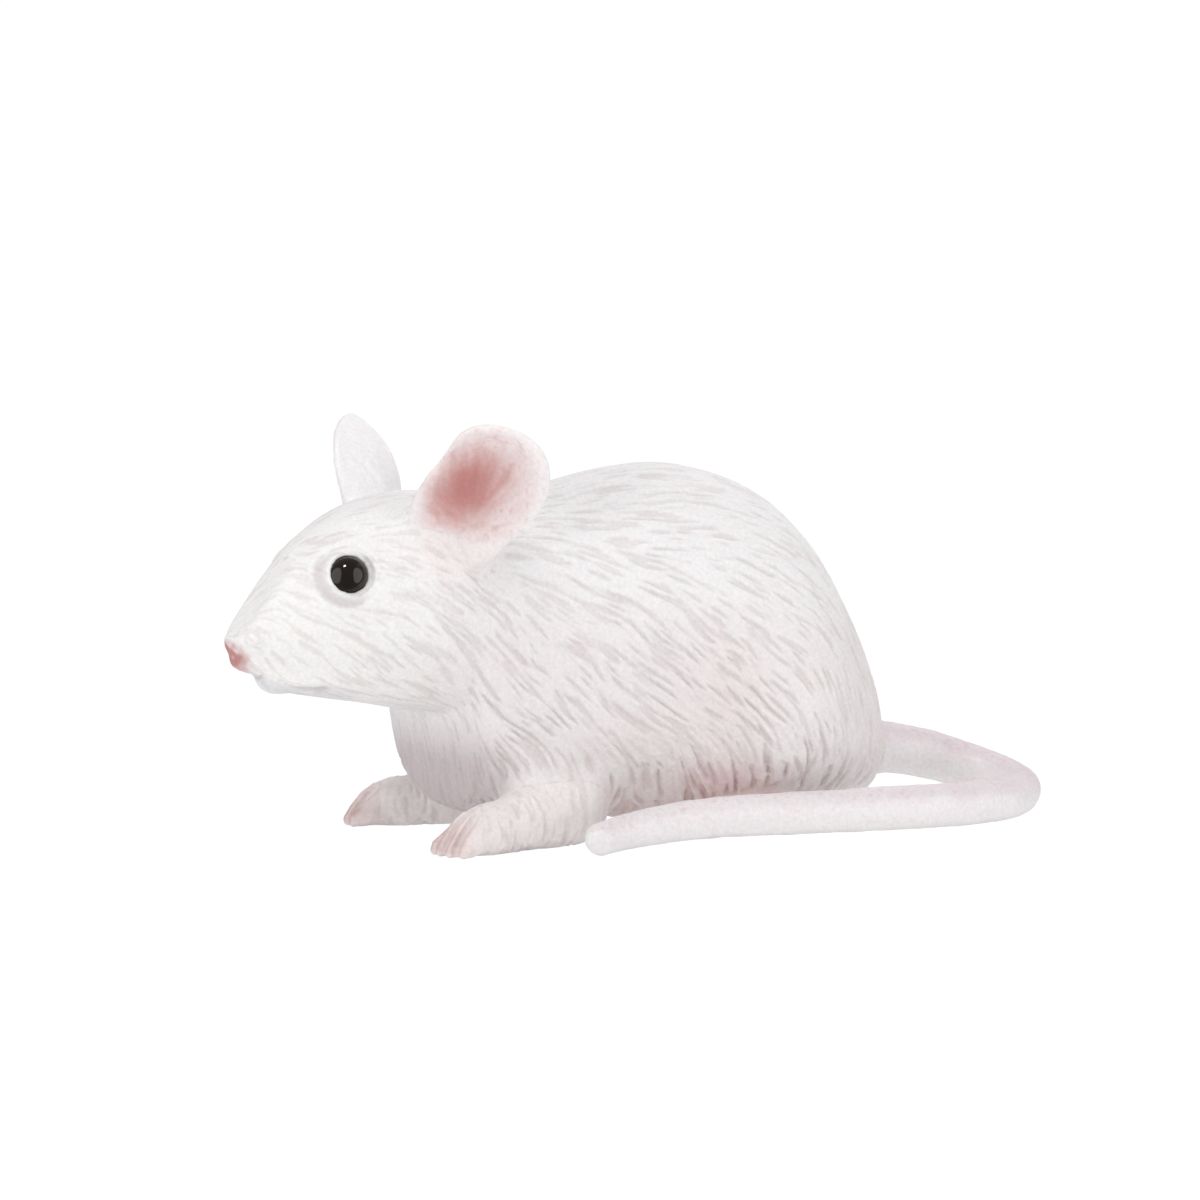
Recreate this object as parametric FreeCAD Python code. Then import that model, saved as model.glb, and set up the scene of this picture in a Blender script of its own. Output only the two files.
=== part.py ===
"""A moulded vinyl mouse figurine, life size, crouching with its tail curled along its left flank.

The figurine is a soft vinyl body moulded over a hard core. Ears, bead eyes, forelegs, hind feet and
tail are moulded apart and glued on with round pegs. Nothing on it moves.

Millimetres. +Z is up, the nose points along -X and the mouse's left side is -Y. The model is drawn
with its midline at Y = 0 and the floor at Z = 0, and moved at the end so that the origin is the
centre of the bounding box on the floor. "Straight" points are those before the head is turned.
"""

import FreeCAD
import Part

import math
import os

from FreeCAD import Matrix, Placement, Rotation, Vector

# Body, from nose tip to rump
BODY_LENGTH = 76.4
BODY_WIDTH = 36.5
BACK_HEIGHT = 41.0
NOSE_X = -49.5
HEAD_TURN = math.radians(12.0)  # towards the mouse's left
NECK_X = NOSE_X + 0.465 * BODY_LENGTH  # where the neck starts to turn
NECK_BEND_LENGTH = 0.157 * BODY_LENGTH

# Outline of the body: share of the length from the nose, then half width, top, bottom and height of the
# widest line as shares of half the body's width and of the back's height
OUTLINE = [
    # along, width, top, bottom, widest
    (0.000, 0.050, 0.596, 0.555, 0.575),
    (0.010, 0.120, 0.624, 0.522, 0.570),
    (0.040, 0.205, 0.690, 0.468, 0.560),
    (0.065, 0.265, 0.742, 0.420, 0.560),
    (0.125, 0.400, 0.842, 0.400, 0.582),
    (0.175, 0.500, 0.895, 0.388, 0.610),
    (0.225, 0.570, 0.926, 0.374, 0.610),
    (0.268, 0.605, 0.938, 0.358, 0.590),
    (0.298, 0.625, 0.938, 0.354, 0.570),
    (0.316, 0.642, 0.936, 0.341, 0.547),
    (0.326, 0.652, 0.934, 0.310, 0.529),
    (0.332, 0.657, 0.934, 0.220, 0.520),
    (0.338, 0.663, 0.932, 0.135, 0.511),
    (0.350, 0.674, 0.931, 0.088, 0.493),
    (0.380, 0.705, 0.928, 0.070, 0.464),
    (0.430, 0.760, 0.929, 0.064, 0.422),
    (0.500, 0.830, 0.948, 0.058, 0.390),
    (0.585, 0.895, 0.985, 0.054, 0.370),
    (0.665, 0.940, 1.000, 0.052, 0.360),
    (0.745, 0.970, 0.975, 0.050, 0.345),
    (0.820, 0.950, 0.914, 0.052, 0.330),
    (0.885, 0.860, 0.800, 0.058, 0.310),
    (0.935, 0.710, 0.640, 0.070, 0.285),
    (0.972, 0.520, 0.475, 0.092, 0.260),
    (0.993, 0.290, 0.350, 0.125, 0.235),
    (1.000, 0.140, 0.285, 0.165, 0.225),
]
LOWER_ROUNDNESS = 2.3  # superellipse power of the belly side
SECTIONS = 46
CHEST = (0.312, 0.354)  # shares of the length where the throat drops to the chest
CHEST_SECTIONS = 7  # extra ones there
SECTION_POINTS = 28
END_SHRINK = 0.1  # size of the row that closes each end of a net, which makes the end round

# Swellings of both sides, as a share of the length, a share of the height, then how far they stand out
# and reach along and up, in mm
SWELLINGS = {
    "haunch": (0.815, 0.37, 2.2, 8.0, 10.0),
    "flank_hollow": (0.645, 0.28, -1.3, 4.5, 9.0),
    "shoulder": (0.465, 0.33, 1.7, 6.0, 9.5),
    "breast": (0.368, 0.13, 3.4, 6.0, 5.5),
    "neck_hollow": (0.350, 0.62, -1.1, 4.0, 7.0),
    "cheek": (0.225, 0.53, 0.9, 5.5, 4.5),
    "muzzle_pad": (0.060, 0.55, 0.5, 3.0, 2.6),
}

# Core that the body is moulded over
SKIN_WALL = 4.5
CORE_START = 0.47  # shares of the body's length
CORE_END = 0.93
STUD_RADIUS = 1.0
STUD_COVER = 0.8  # skin left over a stud's end
STUD_ALONG = (0.60, 0.80)
STUD_SPACE = (0.42, 0.95)  # shares of the length that studs are trimmed within

# Glued pegs
GLUE_GAP = 0.05
EAR_PEG = (1.1, 4.0)  # radius and depth
LEG_PEG = (1.6, 3.5)
LEG_PEG_WAY = Vector(-0.1, 0.75, 0.65).normalize()  # into the body, on the left
FOOT_PEG = (1.5, 3.5)
FOOT_PEG_WAY = Vector(0.1, 0.2, 1.0).normalize()
TAIL_PEG = (1.9, 5.0)

# Eyes
EYE_RADIUS = 2.1
EYE_ALONG = 0.141
EYE_HEIGHT = 0.734  # share of the back's height
EYE_PROUD = 1.25  # how far the bead stands out of the head
EYE_STEM = (0.7, 2.6)

# Ears, in the straight head: the middle of the root and the directions of height and opening
EAR_ALONG = 0.314
EAR_ROOT_ANGLE = 42.5  # degrees up from level, round the head
EAR_HEIGHT = 16.2
EAR_WIDTH = 13.8
EAR_DEPTH = 3.4
EAR_WALL = 1.5
EAR_SUNK = 2.0  # root below the head's surface
EAR_OUT = 1.8  # cup's mouth ahead of the root
EAR_UP = Vector(0.07, -0.42, 0.90)
EAR_OPENING = Vector(-0.60, -0.74, -0.30)
# share of the height, then width, depth and wall as shares of their own sizes, and how far
# forward the middle lies as a share of the width
EAR_OUTLINE = [
    (0.00, 0.52, 0.30, 2.00, 0.054),
    (0.16, 0.68, 0.62, 1.60, 0.054),
    (0.32, 0.86, 0.90, 1.25, 0.041),
    (0.48, 0.97, 1.00, 1.05, 0.018),
    (0.64, 0.99, 0.92, 0.96, -0.009),
    (0.79, 0.87, 0.70, 0.90, -0.041),
    (0.90, 0.66, 0.42, 0.85, -0.068),
    (0.97, 0.40, 0.18, 0.78, -0.086),
    (1.00, 0.18, 0.06, 0.60, -0.090),
]
EAR_POINTS = 11  # along each face of a section

# Places of the limbs: share of the body's length, distance out to the left as a share of half its width,
# and height in mm. The right limbs are mirrored.
ELBOW = (0.4804, 0.6685, 4.5)
ELBOW_RADIUS = 4.3
WRIST = (0.3861, 0.7890, 2.8)
WRIST_RADIUS = 2.7
PALM_REACH = 3.3  # wrist to the middle of the palm
PALM = Vector(3.6, 3.0, 2.8)  # half length, width and height
FORE_TOES = 4
FORE_TOE_LENGTH = 2.8
FORE_TOE_RADII = (1.35, 1.0)
FORE_TOE_FAN = math.radians(11.0)

HEEL = (0.8508, 0.5808, 2.05)
HEEL_RADIUS = 2.3
BALL = (0.7199, 0.6411, 1.95)
BALL_RADIUS = 2.2
ANKLE = (0.7853, 0.6356, 4.6)
ANKLE_RADIUS = 2.7
HIND_TOES = 4
HIND_TOE_LENGTH = 4.2
HIND_TOE_RADII = (1.05, 0.8)
HIND_TOE_FAN = math.radians(6.0)

SOLE_SUNK = 0.25  # how far the rounded feet are cut flat by the floor

# Tail: points of its centreline, placed like the limbs, and its radius in mm along it
TAIL_LINE = [
    (0.9162, -0.0000, 9.6),
    (1.0013, -0.0000, 8.6),
    (1.0798, 0.0164, 7.7),
    (1.1531, 0.1315, 6.0),
    (1.1898, 0.3945, 4.6),
    (1.1636, 0.7233, 4.0),
    (1.0798, 0.9425, 3.7),
    (0.9359, 1.0630, 3.7),
    (0.7788, 1.0959, 3.6),
    (0.6348, 1.1123, 3.4),
    (0.5406, 1.1616, 2.7),
    (0.4777, 1.2712, 2.0),
]
TAIL_RADII = [(0.0, 3.3), (0.12, 2.9), (0.30, 2.5), (0.6, 2.42), (0.85, 2.2), (1.0, 1.8)]
TAIL_SECTIONS = 26

FLOOR = 200.0  # side of the block that cuts soles flat


def smooth(rows, column, at):
    """Monotone cubic through a column of a table whose first column rises."""
    xs = [row[0] for row in rows]
    ys = [row[column] for row in rows]
    slopes = [(ys[i + 1] - ys[i]) / (xs[i + 1] - xs[i]) for i in range(len(xs) - 1)]
    tangents = [slopes[0]]
    for before, after in zip(slopes, slopes[1:]):
        together = before * after
        tangents.append(2 * together / (before + after) if together > 0 else 0.0)
    tangents.append(slopes[-1])
    at = min(max(at, xs[0]), xs[-1])
    i = max(k for k in range(len(xs) - 1) if xs[k] <= at)
    step = xs[i + 1] - xs[i]
    t = (at - xs[i]) / step
    return (
        (1 + 2 * t) * (1 - t) ** 2 * ys[i]
        + t * (1 - t) ** 2 * step * tangents[i]
        + t * t * (3 - 2 * t) * ys[i + 1]
        + t * t * (t - 1) * step * tangents[i + 1]
    )


def turn_head(point):
    """Bends a straight point round the neck."""
    ahead = NECK_X - point.x
    if ahead <= 0:
        return point
    radius = NECK_BEND_LENGTH / HEAD_TURN
    angle = HEAD_TURN * min(ahead / NECK_BEND_LENGTH, 1.0)
    beyond = max(ahead - NECK_BEND_LENGTH, 0.0)
    x = NECK_X - radius * math.sin(angle) - beyond * math.cos(angle)
    y = -radius * (1 - math.cos(angle)) - beyond * math.sin(angle)
    return Vector(x - point.y * math.sin(angle), y + point.y * math.cos(angle), point.z)


def head_placement():
    """The move that turn_head gives everything ahead of the neck."""
    pivot = Vector(NECK_X - NECK_BEND_LENGTH, 0, 0)
    turn = Rotation(Vector(0, 0, 1), math.degrees(HEAD_TURN))
    return Placement(turn_head(pivot) - turn.multVec(pivot), turn)


def body_x(along):
    return NOSE_X + along * BODY_LENGTH


def place(along, out, height):
    """A point on the left by its shares of the body's length and half width, and its height in mm."""
    return Vector(body_x(along), -out * BODY_WIDTH / 2, height)


def skin_point(along, angle, inset=0.0):
    """A straight point of the body's surface, at an angle up from level, seen from the front.

    Angle 0 is the mouse's right side, and 180 degrees its left.
    """
    half_width = smooth(OUTLINE, 1, along) * BODY_WIDTH / 2 - inset
    top = smooth(OUTLINE, 2, along) * BACK_HEIGHT - inset
    bottom = smooth(OUTLINE, 3, along) * BACK_HEIGHT + inset
    widest = smooth(OUTLINE, 4, along) * BACK_HEIGHT
    cosine, sine = math.cos(angle), math.sin(angle)
    power = 1.0 if sine >= 0 else 2 / LOWER_ROUNDNESS
    height = top - widest if sine >= 0 else widest - bottom
    y = half_width * math.copysign(abs(cosine) ** power, cosine)
    z = widest + height * math.copysign(abs(sine) ** power, sine)
    for middle, level, amount, reach, rise in SWELLINGS.values():
        near = ((along - middle) * BODY_LENGTH / reach) ** 2 + ((z - level * BACK_HEIGHT) / rise) ** 2
        y += amount * math.exp(-near) * cosine
    return Vector(body_x(along), y, z)


def shrunk(row, share):
    middle = sum(row, Vector()) * (1.0 / len(row))
    return [middle + (point - middle) * share for point in row]


def net_solid(rows):
    """A cubic skin over flat closed rows of control points, with round ends."""
    rows = [shrunk(rows[0], END_SHRINK)] + rows + [shrunk(rows[-1], END_SHRINK)]
    around, along = len(rows[0]), len(rows) - 3
    surface = Part.BSplineSurface()
    surface.buildFromPolesMultsKnots(
        [list(column) for column in zip(*rows)],
        [1] * (around + 1),
        [4] + [1] * (along - 1) + [4],
        [float(k) for k in range(around + 1)],
        [float(k) for k in range(along + 1)],
        True,
        False,
        3,
        3,
    )
    caps = [Part.Face(Part.Wire(surface.vIso(end).toShape())) for end in (0.0, float(along))]
    skin = Part.makeCompound([surface.toShape()] + caps)
    skin.sewShape()
    solid = Part.Solid(Part.Shell(skin.Faces))
    if solid.Volume < 0:
        solid.reverse()
    return solid


def stations(start, end):
    """Shares of the length to put sections at: closer at both ends and at the chest."""
    turns = [math.pi * i / (SECTIONS - 1) for i in range(SECTIONS)]
    spread = [start + (end - start) * (1 - math.cos(turn)) / 2 for turn in turns]
    low, high = CHEST
    chest = [low + (high - low) * i / (CHEST_SECTIONS - 1) for i in range(CHEST_SECTIONS)]
    return sorted([at for at in spread if not low < at < high] + [at for at in chest if start < at < end])


def body_form(start, end, inset=0.0):
    """The body between two shares of its length, inside its surface by the inset."""
    angles = [2 * math.pi * k / SECTION_POINTS - math.pi / 2 for k in range(SECTION_POINTS)]
    rows = []
    for along in stations(start, end):
        rows.append([turn_head(skin_point(along, angle, inset)) for angle in angles])
    return net_solid(rows)


def rod(start, direction, radius, length):
    return Part.makeCylinder(radius, length, start, direction)


def capsule(start, end, start_radius, end_radius):
    """A tapered rod with round ends, turned in one piece."""
    axis = end - start
    length = axis.Length
    lean = math.asin((start_radius - end_radius) / length)
    cosine, sine = math.cos(lean), math.sin(lean)

    def ring(middle, radius, angle_cosine, angle_sine):
        return Vector(radius * angle_cosine, 0, middle + radius * angle_sine)

    low, high = Vector(0, 0, -start_radius), Vector(0, 0, length + end_radius)
    low_side = ring(0, start_radius, cosine, sine)
    high_side = ring(length, end_radius, cosine, sine)
    low_half, high_half = (lean - math.pi / 2) / 2, (lean + math.pi / 2) / 2
    edges = [
        Part.Arc(low, ring(0, start_radius, math.cos(low_half), math.sin(low_half)), low_side),
        Part.LineSegment(low_side, high_side),
        Part.Arc(high_side, ring(length, end_radius, math.cos(high_half), math.sin(high_half)), high),
        Part.LineSegment(high, low),
    ]
    face = Part.Face(Part.Wire([edge.toShape() for edge in edges]))
    solid = face.revolve(Vector(), Vector(0, 0, 1), 360)
    solid.Placement = Placement(start, Rotation(Vector(0, 0, 1), axis))
    return solid


def ellipsoid(centre, radii, heading=0.0):
    """A ball stretched to three radii and turned about Z."""
    stretch = Matrix()
    stretch.scale(radii)
    stretch.rotateZ(heading)
    stretch.move(centre)
    return Part.makeSphere(1.0).transformGeometry(stretch)


def mirrored(shape):
    return shape.mirror(Vector(), Vector(0, 1, 0))


def mirrored_point(point):
    return Vector(point.x, -point.y, point.z)


def floor_block():
    return Part.makeBox(FLOOR, FLOOR, FLOOR, Vector(-FLOOR / 2, -FLOOR / 2, -FLOOR))


def toes(root, heading, count, length, radii, fan, spread):
    """Toes fanned round a heading, from a row across the front of the root, resting on the floor."""
    across = Vector(-heading.y, heading.x, 0)
    made = []
    for k in range(count):
        side = k - (count - 1) / 2
        turned = Rotation(Vector(0, 0, 1), math.degrees(side * fan)).multVec(heading)
        start = root + across * (side * spread)
        reach = length * (1 - 0.07 * side * side)
        tip = start + turned * reach
        made.append(capsule(start, Vector(tip.x, tip.y, radii[1] - SOLE_SUNK), *radii))
    return made


def foreleg():
    """The left foreleg without its peg, where its peg starts, the way in, the peg and its overlap."""
    elbow, wrist = place(*ELBOW), place(*WRIST)
    heading = wrist - elbow
    heading = Vector(heading.x, heading.y, 0).normalize()
    palm = wrist + heading * PALM_REACH
    palm.z = PALM.z - SOLE_SUNK
    knuckles = palm + heading * (PALM.x * 0.55)
    knuckles.z = FORE_TOE_RADII[0] + 0.5
    spread = 2 * (PALM.y - FORE_TOE_RADII[0]) / (FORE_TOES - 1)
    pieces = [
        capsule(elbow, wrist, ELBOW_RADIUS, WRIST_RADIUS),
        ellipsoid(palm, PALM, math.atan2(heading.y, heading.x)),
    ]
    pieces += toes(knuckles, heading, FORE_TOES, FORE_TOE_LENGTH, FORE_TOE_RADII, FORE_TOE_FAN, spread)
    return pieces[0].fuse(pieces[1:]).cut(floor_block()), elbow, LEG_PEG_WAY, LEG_PEG, ELBOW_RADIUS / 2


def hind_foot():
    """The left hind foot without its peg, where its peg starts, the way in, the peg and its overlap."""
    heel, ball, ankle = place(*HEEL), place(*BALL), place(*ANKLE)
    heading = ball - heel
    heading = Vector(heading.x, heading.y, 0).normalize()
    knuckles = ball + heading * (BALL_RADIUS * 0.4)
    knuckles.z = HIND_TOE_RADII[0] + 0.3
    spread = 2 * (BALL_RADIUS - HIND_TOE_RADII[0] * 0.6) / (HIND_TOES - 1)
    pieces = [
        capsule(heel, ball, HEEL_RADIUS, BALL_RADIUS),
        capsule(ankle, ball + Vector(0, 0, 0.6), ANKLE_RADIUS, BALL_RADIUS * 0.9),
    ]
    pieces += toes(knuckles, heading, HIND_TOES, HIND_TOE_LENGTH, HIND_TOE_RADII, HIND_TOE_FAN, spread)
    return pieces[0].fuse(pieces[1:]).cut(floor_block()), ankle, FOOT_PEG_WAY, FOOT_PEG, ANKLE_RADIUS / 2


def ear_frame():
    """Width (towards the front rim), opening and height directions of the left ear, straight."""
    up = Vector(EAR_UP).normalize()
    opening = Vector(EAR_OPENING)
    opening = (opening - up * opening.dot(up)).normalize()
    return opening.cross(up), opening, up


def ear_root():
    angle = math.radians(180 - EAR_ROOT_ANGLE)
    return skin_point(EAR_ALONG, angle) - Vector(EAR_UP).normalize() * EAR_SUNK


def ear_section(share):
    """A crescent across the left ear at a share of its height."""
    across, opening, up = ear_frame()
    half_width = smooth(EAR_OUTLINE, 1, share) * EAR_WIDTH / 2
    depth = smooth(EAR_OUTLINE, 2, share) * EAR_DEPTH
    half_wall = smooth(EAR_OUTLINE, 3, share) * EAR_WALL / 2
    forward = smooth(EAR_OUTLINE, 4, share) * EAR_WIDTH
    middle = ear_root() + up * (share * EAR_HEIGHT) + opening * EAR_OUT + across * forward
    faces = {1: [], -1: []}
    for k in range(EAR_POINTS):
        s = -math.cos(math.pi * k / (EAR_POINTS - 1))
        slope = 2 * depth * s / half_width
        lean = math.hypot(1.0, slope)
        wall = half_wall * math.sqrt(max(1 - s**8, 0.0))
        for side in faces:
            a = half_width * s - side * wall * slope / lean
            b = -depth * (1 - s * s) + side * wall / lean
            faces[side].append(middle + across * a + opening * b)
    return faces[1] + faces[-1][-2:0:-1]


def ear(straight_body):
    """The left ear, straight, with its root cut to the head."""
    shell = net_solid([ear_section(row[0]) for row in EAR_OUTLINE])
    return shell.cut(straight_body)


def ear_peg_axis():
    """The way into the head and a start at the head's surface, in the middle of the left ear's wall."""
    _, opening, up = ear_frame()
    share = EAR_SUNK / EAR_HEIGHT
    ahead = EAR_OUT - smooth(EAR_OUTLINE, 2, share) * EAR_DEPTH
    return up * -1, ear_root() + up * EAR_SUNK + opening * ahead


def in_head(piece, turned):
    """A copy of a straight piece, moved with the turned head."""
    moved = piece.copy()
    moved.Placement = turned.multiply(moved.Placement)
    return moved


def eye():
    """Centre of the left eye's bead, straight, and the way out of the head."""
    level = EYE_HEIGHT * BACK_HEIGHT
    widest = smooth(OUTLINE, 4, EYE_ALONG) * BACK_HEIGHT
    top = smooth(OUTLINE, 2, EYE_ALONG) * BACK_HEIGHT
    angle = math.pi - math.asin((level - widest) / (top - widest))
    step_along, step_angle = 0.004, 0.05
    seat = skin_point(EYE_ALONG, angle)
    backward = skin_point(EYE_ALONG + step_along, angle) - seat
    upward = skin_point(EYE_ALONG, angle - step_angle) - seat
    outward = backward.cross(upward).normalize()
    if outward.y > 0:
        outward = outward * -1
    centre = seat - outward * (EYE_RADIUS - EYE_PROUD)
    return centre, outward


def eye_bead(gap=0.0):
    centre, outward = eye()
    radius, length = EYE_STEM
    stem = rod(centre, outward * -1, radius + gap, EYE_RADIUS + length + gap)
    return Part.makeSphere(EYE_RADIUS + gap, centre).fuse(stem)


def tail_line():
    curve = Part.BSplineCurve()
    curve.interpolate([place(*row) for row in TAIL_LINE])
    return curve


def tail():
    """The tail from inside the rump to its round tip."""
    curve = tail_line()
    first, last = curve.FirstParameter, curve.LastParameter
    wires = []
    for i in range(TAIL_SECTIONS):
        share = i / (TAIL_SECTIONS - 1)
        at = first + (last - first) * share
        radius = smooth(TAIL_RADII, 1, share)
        circle = Part.Circle(curve.value(at), Vector(*curve.tangent(at)[0]), radius)
        wires.append(Part.Wire(circle.toShape()))
    length = Part.makeLoft(wires, True)
    tip_radius = TAIL_RADII[-1][1]
    tip = Part.makeSphere(tip_radius, curve.value(last))
    return length.fuse(tip)


def core():
    """The hard core, with the studs that hold it in the middle of the body's mould."""
    lump = body_form(CORE_START, CORE_END, SKIN_WALL)
    stud_space = body_form(*STUD_SPACE, STUD_COVER)
    studs = []
    for along in STUD_ALONG:
        middle = Vector(body_x(along), 0, smooth(OUTLINE, 4, along) * BACK_HEIGHT)
        for direction in (Vector(0, 1, 0), Vector(0, -1, 0), Vector(0, 0, 1), Vector(0, 0, -1)):
            studs.append(rod(middle, direction, STUD_RADIUS, BODY_WIDTH))
    return lump.fuse([stud.common(stud_space) for stud in studs])


def with_peg(piece, start, inward, peg, overlap):
    """The piece with a peg that starts inside it and ends at its depth past the start."""
    radius, depth = peg
    return piece.fuse(rod(start - inward * overlap, inward, radius, overlap + depth))


def socket(start, inward, peg, overlap):
    radius, depth = peg
    return rod(start - inward * overlap, inward, radius + GLUE_GAP, overlap + depth + GLUE_GAP)


def pegged(piece, start, inward, peg, inside, outer):
    """The piece with its peg, and the socket for it. The peg starts where its axis leaves the body."""
    line = Part.LineSegment(start - inward * inside, start + inward * BODY_WIDTH).toShape()
    entry = min(
        (vertex.Point for vertex in line.common(outer).Vertexes),
        key=lambda point: (point - start).dot(inward),
    )
    return with_peg(piece, entry, inward, peg, inside), socket(entry, inward, peg, inside)


def build():
    outer = body_form(0.0, 1.0)
    turned = head_placement()
    head_in_straight = outer.copy()
    head_in_straight.Placement = turned.inverse()
    nodes, cuts = {}, []

    ear_in, ear_start = ear_peg_axis()
    shell = ear(head_in_straight)
    for name, flip in (("left_ear", False), ("right_ear", True)):
        piece, start, inward = shell, ear_start, ear_in
        if flip:
            piece, start, inward = mirrored(shell), mirrored_point(start), mirrored_point(inward)
        piece = in_head(piece, turned)
        start, inward = turned.multVec(start), turned.Rotation.multVec(inward)
        nodes[name], cut = pegged(piece, start, inward, EAR_PEG, EAR_SUNK / 4, outer)
        cuts.append(cut)

    for name, flip in (("left_eye", False), ("right_eye", True)):
        bead, hole = eye_bead(), eye_bead(GLUE_GAP)
        if flip:
            bead, hole = mirrored(bead), mirrored(hole)
        nodes[name] = in_head(bead, turned)
        cuts.append(in_head(hole, turned))

    for limb, name in ((foreleg, "foreleg"), (hind_foot, "hind_foot")):
        piece, start, inward, peg, inside = limb()
        nodes[f"left_{name}"], cut = pegged(piece.cut(outer), start, inward, peg, inside, outer)
        cuts.append(cut)
        piece, start, inward = mirrored(piece), mirrored_point(start), mirrored_point(inward)
        nodes[f"right_{name}"], cut = pegged(piece.cut(outer), start, inward, peg, inside, outer)
        cuts.append(cut)

    start = place(*TAIL_LINE[1])
    inward = (place(*TAIL_LINE[0]) - start).normalize()
    nodes["tail"], cut = pegged(tail().cut(outer), start, inward, TAIL_PEG, TAIL_PEG[0], outer)
    cuts.append(cut)
    nodes["core"] = core()
    nodes["body"] = outer.cut(cuts).cut(nodes["core"])
    return nodes


def main():
    nodes = {name: shape.Solids[0] for name, shape in build().items()}
    whole = Part.makeCompound(list(nodes.values()))
    box = whole.optimalBoundingBox(False)
    to_origin = Vector(-(box.XMin + box.XMax) / 2, -(box.YMin + box.YMax) / 2, 0)
    os.makedirs("parts", exist_ok=True)
    for name, shape in nodes.items():
        shape.translate(to_origin)
        shape.exportStep(f"parts/{name}.step")
        print(name, shape.ShapeType, len(shape.Solids), shape.isValid(), round(shape.Volume, 1))
    print("size", [round(side, 2) for side in (box.XLength, box.YLength, box.ZLength)], "lowest", round(box.ZMin, 3))


main()
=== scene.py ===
"""Looks of the mouse figurine: carved fur, airbrushed skin and gloss eyes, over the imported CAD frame.

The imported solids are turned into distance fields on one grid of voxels, joined with soft fillets,
given their small features, and cut back into one piece for each CAD node. Body and core become one
piece, because the core is hidden. Fur strokes are then pressed into the pieces' vertices.
Lengths in the fields are millimetres. The nose points to -X and the mouse's left is -Y.
"""

import math

import bmesh
import bpy
import numpy as np
import openvdb
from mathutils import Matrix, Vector

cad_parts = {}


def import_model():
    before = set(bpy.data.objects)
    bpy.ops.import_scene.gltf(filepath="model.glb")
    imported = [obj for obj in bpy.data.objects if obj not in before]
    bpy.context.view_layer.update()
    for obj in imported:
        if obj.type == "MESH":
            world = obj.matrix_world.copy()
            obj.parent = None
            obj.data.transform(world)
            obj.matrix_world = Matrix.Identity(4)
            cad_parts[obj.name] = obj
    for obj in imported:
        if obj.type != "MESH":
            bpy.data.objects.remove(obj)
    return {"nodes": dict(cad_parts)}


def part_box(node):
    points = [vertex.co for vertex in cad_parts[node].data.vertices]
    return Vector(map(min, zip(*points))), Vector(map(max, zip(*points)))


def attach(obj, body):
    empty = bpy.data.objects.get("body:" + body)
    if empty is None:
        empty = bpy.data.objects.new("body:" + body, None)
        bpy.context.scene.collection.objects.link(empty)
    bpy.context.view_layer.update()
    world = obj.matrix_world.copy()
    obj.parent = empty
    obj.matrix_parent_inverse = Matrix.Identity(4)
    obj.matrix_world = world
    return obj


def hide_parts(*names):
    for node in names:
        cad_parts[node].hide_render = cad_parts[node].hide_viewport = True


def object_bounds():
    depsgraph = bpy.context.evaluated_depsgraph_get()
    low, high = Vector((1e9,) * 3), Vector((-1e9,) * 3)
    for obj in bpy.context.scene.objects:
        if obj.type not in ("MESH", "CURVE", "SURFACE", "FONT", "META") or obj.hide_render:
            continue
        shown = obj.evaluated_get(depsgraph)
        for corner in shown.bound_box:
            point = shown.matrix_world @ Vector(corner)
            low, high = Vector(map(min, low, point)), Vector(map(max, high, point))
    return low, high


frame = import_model()
cad_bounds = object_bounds()

MM = 1000.0  # millimetres in a metre
VOXEL = 0.2
BAND = 4.0  # distances are kept up to this far from a surface
ROOM = 3.0  # the grid goes this far beyond the CAD parts
HEAD_TURN = math.radians(12.0)  # towards the mouse's left

ORIGIN = np.array(cad_bounds[0]) * MM - ROOM
SHAPE = np.ceil((np.array(cad_bounds[1]) * MM + ROOM - ORIGIN) / VOXEL).astype(int)
AXES = [ORIGIN[k] + VOXEL * np.arange(SHAPE[k], dtype=np.float32) for k in range(3)]

SIDES = ("left", "right")
LIMBS = [
    "left_foreleg",
    "right_foreleg",
    "left_hind_foot",
    "right_hind_foot",
    "tail",
    "left_ear",
    "right_ear",
]
FILLETS = {"foreleg": 3.6, "hind_foot": 1.6, "tail": 2.6, "ear": 2.6}  # where the limbs join the body
SEAMS = {"foreleg": 0.25, "hind_foot": 0.3, "tail": 0.22, "ear": 0.35}  # where pieces end, past their nodes


def by_kind(table, limb):
    """A table's value for the kind of limb that a node is."""
    return next(value for kind, value in table.items() if kind in limb)


# Fields on the grid ------------------------------------------------------------------------------


def window(lo, hi, margin=0.0):
    """The block of the grid that covers a box, as three slices."""
    start = np.floor((np.array(lo) - margin - ORIGIN) / VOXEL).astype(int)
    stop = np.ceil((np.array(hi) + margin - ORIGIN) / VOXEL).astype(int) + 1
    return tuple(slice(max(a, 0), min(b, n)) for a, b, n in zip(start, stop, SHAPE))


def node_window(node, margin):
    """The block of the grid that covers a CAD node."""
    lo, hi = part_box(node)
    return window(np.array(lo) * MM, np.array(hi) * MM, margin)


def grid_points(win):
    """The x, y and z of a block's voxels, shaped to spread over the block."""
    return (
        AXES[0][win[0]][:, None, None],
        AXES[1][win[1]][None, :, None],
        AXES[2][win[2]][None, None, :],
    )


def starts(win):
    return tuple(int(s.start) for s in win)


def vertex_points(mesh):
    """A mesh's vertices, in mm."""
    points = np.zeros(len(mesh.vertices) * 3, np.float32)
    mesh.vertices.foreach_get("co", points)
    return points.reshape(-1, 3) * MM


def node_points(node):
    return vertex_points(frame["nodes"][node].data)


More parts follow.
